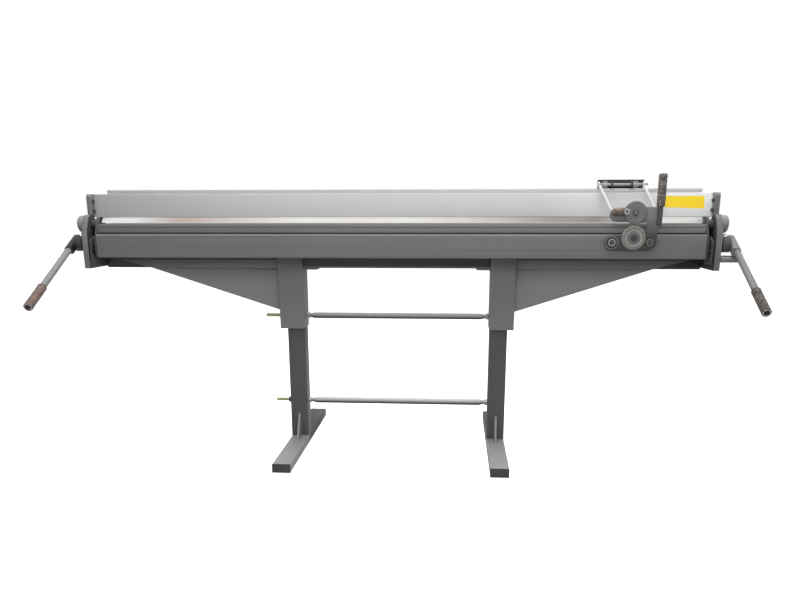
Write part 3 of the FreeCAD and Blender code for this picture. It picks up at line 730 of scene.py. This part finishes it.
# %% Grip of the knife
HANDLE_RIBS, HANDLE_START, HANDLE_STEP = 6, 0.02, 0.014
centre, half = middle("knife_grip")
at = (centre.x, centre.y, centre.z - half.z)
r, length = half.x, 2 * half.z
profile = [(0, 0.004), (0.0, r * 0.8), (0.003, r * 0.97), (0.010, r), (0.013, r * 0.95), (0.016, r * 0.97)]
for k in range(HANDLE_RIBS):
    s = HANDLE_START + HANDLE_STEP * k
    profile += [(s, r * 0.95), (s + 0.003, r * 0.99), (s + 0.009, r * 0.99), (s + 0.012, r * 0.95)]
profile += [(length - 0.018, r * 0.96), (length - 0.014, r), (length - 0.006, r)]
profile += [(length - 0.002, r * 0.86), (length, r * 0.6), (length, 0)]
bm = bmesh.new()
lathe(bm, profile, at, Z, 36)
made("knife_handle", bm, "knife_head", knife_grip_rubber, 50.0, ("knife_grip",))
bm = bmesh.new()
cap = [(0, r * 0.5), (0.0015, r * 0.84), (0.0015, 0)]
lathe(bm, cap, (centre.x, centre.y, centre.z + half.z - 0.0018), Z, 32)
made("knife_handle_cap", bm, "knife_head", bright_zinc)
print("knife grip done")

# %% [markdown]
# The yellow sticker stays bare. On the real machine it is a film, glued a little crooked to the leaning
# front of the clamping beam. Here a grid is laid on that slope and given a thickness of 0.3 mm.

# %% Plain yellow film
FILM_LENGTH, FILM_WIDTH, FILM_THICK = 0.163, 0.053, 0.0003
FILM_X, FILM_UP, FILM_CROOKED, FILM_GAP = 1.2095, 0.0635, 0.03, 0.0001
box_c, box_h = middle("clamp_box")
low = box_c - box_h
lean = Vector((0, 0.023, 0.096)).normalized()
out = Vector((0, -lean.z, lean.y))
foot = Vector((0, low.y, low.z))
bm = bmesh.new()
film = bmesh.ops.create_grid(bm, x_segments=6, y_segments=2, size=0.5)["verts"]
bmesh.ops.scale(bm, vec=(FILM_LENGTH, FILM_WIDTH, 1.0), verts=film)
for v in film:
    up = v.co.y + FILM_UP - v.co.x * FILM_CROOKED
    v.co = Vector((v.co.x + FILM_X, 0, 0)) + foot + lean * up + out * FILM_GAP
grown = bmesh.ops.extrude_face_region(bm, geom=bm.faces[:])["geom"]
front_verts = [g for g in grown if isinstance(g, bmesh.types.BMVert)]
bmesh.ops.translate(bm, vec=out * FILM_THICK, verts=front_verts)
made("plain_yellow_film", bm, "clamping_beam", yellow_film)
print("film done")

# %% [markdown]
# Welded joints carry a bead. Each bead is a half-round strip whose ripples follow the welder's hand; its
# seed is fixed, so that every run gives the same one.

# %% How a weld bead is made
def bead(bm, start, end, r, seed):
    """A lathed ripple profile from start to end, thin at both ends."""
    rng = random.Random(seed)
    length = (Vector(end) - Vector(start)).length
    count = max(4, int(length / 0.0045))
    profile = [(0, 0)]
    for k in range(count + 1):
        fade = min(1.0, 4.0 * k / count, 4.0 * (count - k) / count)
        ripple = (1.0 if k % 2 else 0.86) * rng.uniform(0.93, 1.05)
        profile.append((length * k / count, r * (0.55 + 0.45 * fade) * ripple))
    lathe(bm, profile + [(length, 0)], start, Vector(end) - Vector(start), 8)


print("beads ready")

# %% [markdown]
# On the frame the posts are welded round their feet, the ribs along both legs, and the webs to the lower
# beam and the brackets. All beads are painted over, so they share one mesh in the frame's grey.

# %% Weld beads of the frame
FOOT_TOP = 0.0402
RIB_LOW, RIB_TOP, RIB_REACH, RIB_FOOT = 0.046, 0.146, 0.060, 0.0405
WEB_TOP, WEB_LOW = 0.8355, 0.655
bm = bmesh.new()
post_c, post_h = middle("right_post")
rib_x = middle("right_gussets")[0].x
for sign in (-1, 1):
    x0, x1 = sign * (post_c.x - post_h.x), sign * (post_c.x + post_h.x)
    y0, y1 = post_c.y - post_h.y, post_c.y + post_h.y
    seed = 5 + sign
    for y in (y0, y1):
        bead(bm, (x0, y, FOOT_TOP), (x1, y, FOOT_TOP), 0.0030, seed + 10 * (y > 0.1))
    for x in (x0 + sign * 0.001, x1 - sign * 0.001):
        bead(bm, (x, y0, FOOT_TOP), (x, y1, FOOT_TOP), 0.0026, seed + 31)
    for y, way in ((y0, -1), (y1, 1)):
        for dx in (-0.005, 0.005):
            x = sign * rib_x + dx
            near, far = y + way * 0.006, y + way * RIB_REACH
            bead(bm, (x, y + way * 0.001, RIB_LOW), (x, y + way * 0.001, RIB_TOP), 0.0024, seed + 17)
            bead(bm, (x, near, RIB_FOOT), (x, far, RIB_FOOT), 0.0024, seed + 23)
web_c, web_h = middle("right_web")
for sign in (-1, 1):
    x0, x1 = sign * (web_c.x - web_h.x + 0.004), sign * (web_c.x + web_h.x - 0.02)
    for y in (web_c.y - web_h.y - 0.0008, web_c.y + web_h.y + 0.0008):
        bead(bm, (x0, y, WEB_TOP), (x1, y, WEB_TOP), 0.0028, 71 + sign)
        bead(bm, (x0, y, WEB_TOP), (x0, y, WEB_LOW), 0.0026, 77 + sign)
made("weld_beads", bm, "base", grey_paint, 60.0)
print("weld beads done")

# %% [markdown]
# The bending beam is built from a blade and a tube. Where they meet, a dark bar stands for the seam and
# the painted shadow in its gap, and a finer one below the working edge is a painted shadow line. Both are
# slim dark bars in front of the blade, because a groove that fine would be lost in the solid.

# %% Painted shadow lines on the bending beam
blade_c, blade_h = middle("bending_blade")
tube_c, tube_h = middle("bending_tube")
face = blade_c.y - blade_h.y
half = blade_h.x - 0.004
joint_shadow_line = (tube_c.z + tube_h.z + 0.0045, 0.0065)
strip = (blade_c.z + blade_h.z - 0.0125, 0.0018)
bm = bmesh.new()
# Both bars are painted shadow lines; the lower one also marks the seam of blade and tube.
for z, tall in (joint_shadow_line, strip):
    brick(bm, (-half, face - 0.0007, z - tall / 2), (half, face + 0.001, z + tall / 2), 0.0002)
made("blade_painted_shadow_lines", bm, "bending_beam", carriage_paint)
print("seams done")

# %% [markdown]
# The lower beam is folded plate: its front sheet is turned down a little below the bottom, as a lip. It
# would be bent on the long side of the sheet. Here it is a slim bar between the legs and one at each end;
# the end bars are darker, as painted shade.

# %% Turned-down lip of the lower beam
LIP = 0.0075
low_c, low_h = middle("lower_beam")
bracket_c, bracket_h = middle("right_leg_bracket")
inner = bracket_c.x - bracket_h.x - 0.0005
front, under = low_c.y - low_h.y, low_c.z - low_h.z
bm = bmesh.new()
brick(bm, (-inner, front - 0.0004, under - LIP), (inner, front + 0.004, under + 0.0015), 0.0012)
made("lower_beam_lip", bm, "base", grey_paint)
outer = bracket_c.x + bracket_h.x + 0.0003
reach = low_h.x - 0.0005
bm = bmesh.new()
# The end bars are darker than the one between the legs: painted shade.
for low_x, high_x in ((outer, reach), (-reach, -outer)):
    brick(bm, (low_x, front + 0.0002, under - LIP), (high_x, front + 0.004, under + 0.0015), 0.0008)
made("lower_beam_end_lips", bm, "base", end_lip_painted_shade)
print("lips done")

# %% [markdown]
# Each web has a front plate that runs up over the face of the lower beam and tapers out under the tube.
# It is a flat block from which one slanted cut takes the corner, as a guillotine would. The cut block is
# mirrored for the left side.

# %% Front plates of the webs
PLATE_TOP, PLATE_END, PLATE_THICK = 0.046, 1.30, 0.004
corner = Vector((1.118, front, under - LIP))
tip = Vector((1.262, front, under + 0.0295))
normal = Y.cross(tip - corner).normalized()
bm = bmesh.new()
for sign in (-1, 1):
    part = bmesh.new()
    low = (outer, front - PLATE_THICK, under - LIP)
    brick(part, low, (PLATE_END, front - 0.0002, under + PLATE_TOP), 0.0006)
    geometry = part.verts[:] + part.edges[:] + part.faces[:]
    cut = bmesh.ops.bisect_plane(part, geom=geometry, plane_co=corner, plane_no=normal, clear_outer=True)
    rim = [g for g in cut["geom_cut"] if isinstance(g, bmesh.types.BMEdge)]
    bmesh.ops.holes_fill(part, edges=rim)
    bmesh.ops.scale(part, vec=(sign, 1, 1), verts=part.verts)
    block = bpy.data.meshes.new("web_plate_block")
    part.to_mesh(block)
    part.free()
    bm.from_mesh(block)
    bpy.data.meshes.remove(block)
print("faces of the web plates:", len(bm.faces))
made("web_front_plates", bm, "base", plate_paint)

# %% [markdown]
# The tie rods are drawn in at their ends and screwed to the legs with bright nuts. A six-sided profile
# with chamfered corners makes each nut, right against the leg.

# %% Nuts where the tie rods meet the legs
nut = [(0, 0.0085), (0, 0.0140), (0.001, 0.0154), (0.0134, 0.0154), (0.0144, 0.0140), (0.0144, 0.0085)]
for name in ("upper_tie_rod", "lower_tie_rod"):
    rod_c, rod_h = middle(name)
    bm = bmesh.new()
    for sign in (-1, 1):
        start = Vector((sign * (rod_h.x - 0.0145), rod_c.y, rod_c.z))
        lathe(bm, nut + nut[:1], start, X * sign, 6)
    made(name + "_bright_nuts", bm, "base", arm_zinc)
print("nuts done")

# %% [markdown]
# The object stands in a white studio. The floor and the dome look white to the camera and to reflections,
# but give the object little light, so the fronts stay as dark as in the photograph.

# %% Floor and world
FLOOR_HALF = 14.0
floor_mesh = bpy.data.meshes.new("floor")
bm = bmesh.new()
bmesh.ops.create_grid(bm, x_segments=1, y_segments=1, size=FLOOR_HALF)
bm.to_mesh(floor_mesh)
bm.free()
floor = bpy.data.objects.new("floor", floor_mesh)
bpy.context.scene.collection.objects.link(floor)

f = Finish("white_floor", 0.9)
f.shader.inputs["Base Color"].default_value = (0.9, 0.9, 0.9, 1.0)
seen = f.node("ShaderNodeLightPath")
mirrored = f.node("ShaderNodeLightPath", output=3)
glow = f.node("ShaderNodeEmission", inputs={"Color": (1, 1, 1, 1), "Strength": 0.95})
bright = f.node("ShaderNodeAddShader", inputs={0: glow, 1: Value(f.tree, f.shader.outputs[0])})
dim = f.node("ShaderNodeBsdfDiffuse", inputs={"Color": (0.35, 0.35, 0.35, 1)})
mixed = f.node("ShaderNodeMixShader", inputs={0: (seen + mirrored * 0.3).clamped(), 1: dim, 2: bright})
output = f.tree.nodes["Material Output"]
f.tree.links.new(mixed.socket, output.inputs["Surface"])
floor.data.materials.append(f.material)

world = bpy.data.worlds.new("studio")
bpy.context.scene.world = world
world.use_nodes = True
tree = world.node_tree
background = tree.nodes["Background"]
path = tree.nodes.new("ShaderNodeLightPath")
shown = Value(tree, path.outputs["Is Camera Ray"]) + Value(tree, path.outputs["Is Glossy Ray"]) * 0.86
strength = shown.math("MAXIMUM", 0.21)
tree.links.new(strength.socket, background.inputs["Strength"])
background.inputs["Color"].default_value = (1.0, 1.0, 1.0, 1.0)
print("studio ready")

# %% [markdown]
# One wide lamp hangs overhead, and weak ones stand on every side, so that the back and the ends can be
# read as well. Glossy rays pass the lamps, which leaves no hot spots.

# %% Lamps
def lamp(name, place, aim, size, power):
    data = bpy.data.lights.new(name, "AREA")
    data.shape = "RECTANGLE"
    data.size, data.size_y = size
    data.energy = power
    holder = bpy.data.objects.new(name, data)
    bpy.context.scene.collection.objects.link(holder)
    way = Vector(aim) - Vector(place)
    holder.matrix_world = Matrix.Translation(place) @ way.to_track_quat("-Z", "Y").to_matrix().to_4x4()
    holder.visible_glossy = False


lamp("top_lamp", (0.2, -0.4, 3.4), (0, 0, 0.9), (4.0, 2.0), 128.0)
lamp("front_lamp", (0.5, -3.6, 2.4), (0, 0, 0.9), (2.5, 1.5), 50.0)
lamp("rear_lamp", (-0.6, 3.8, 1.9), (0, 0, 0.9), (3.0, 1.6), 50.0)
lamp("right_lamp", (4.2, 0.6, 1.8), (0, 0, 0.8), (1.6, 1.6), 13.0)
lamp("left_lamp", (-4.2, 0.6, 1.8), (0, 0, 0.8), (1.6, 1.6), 13.0)
print("lamps ready")
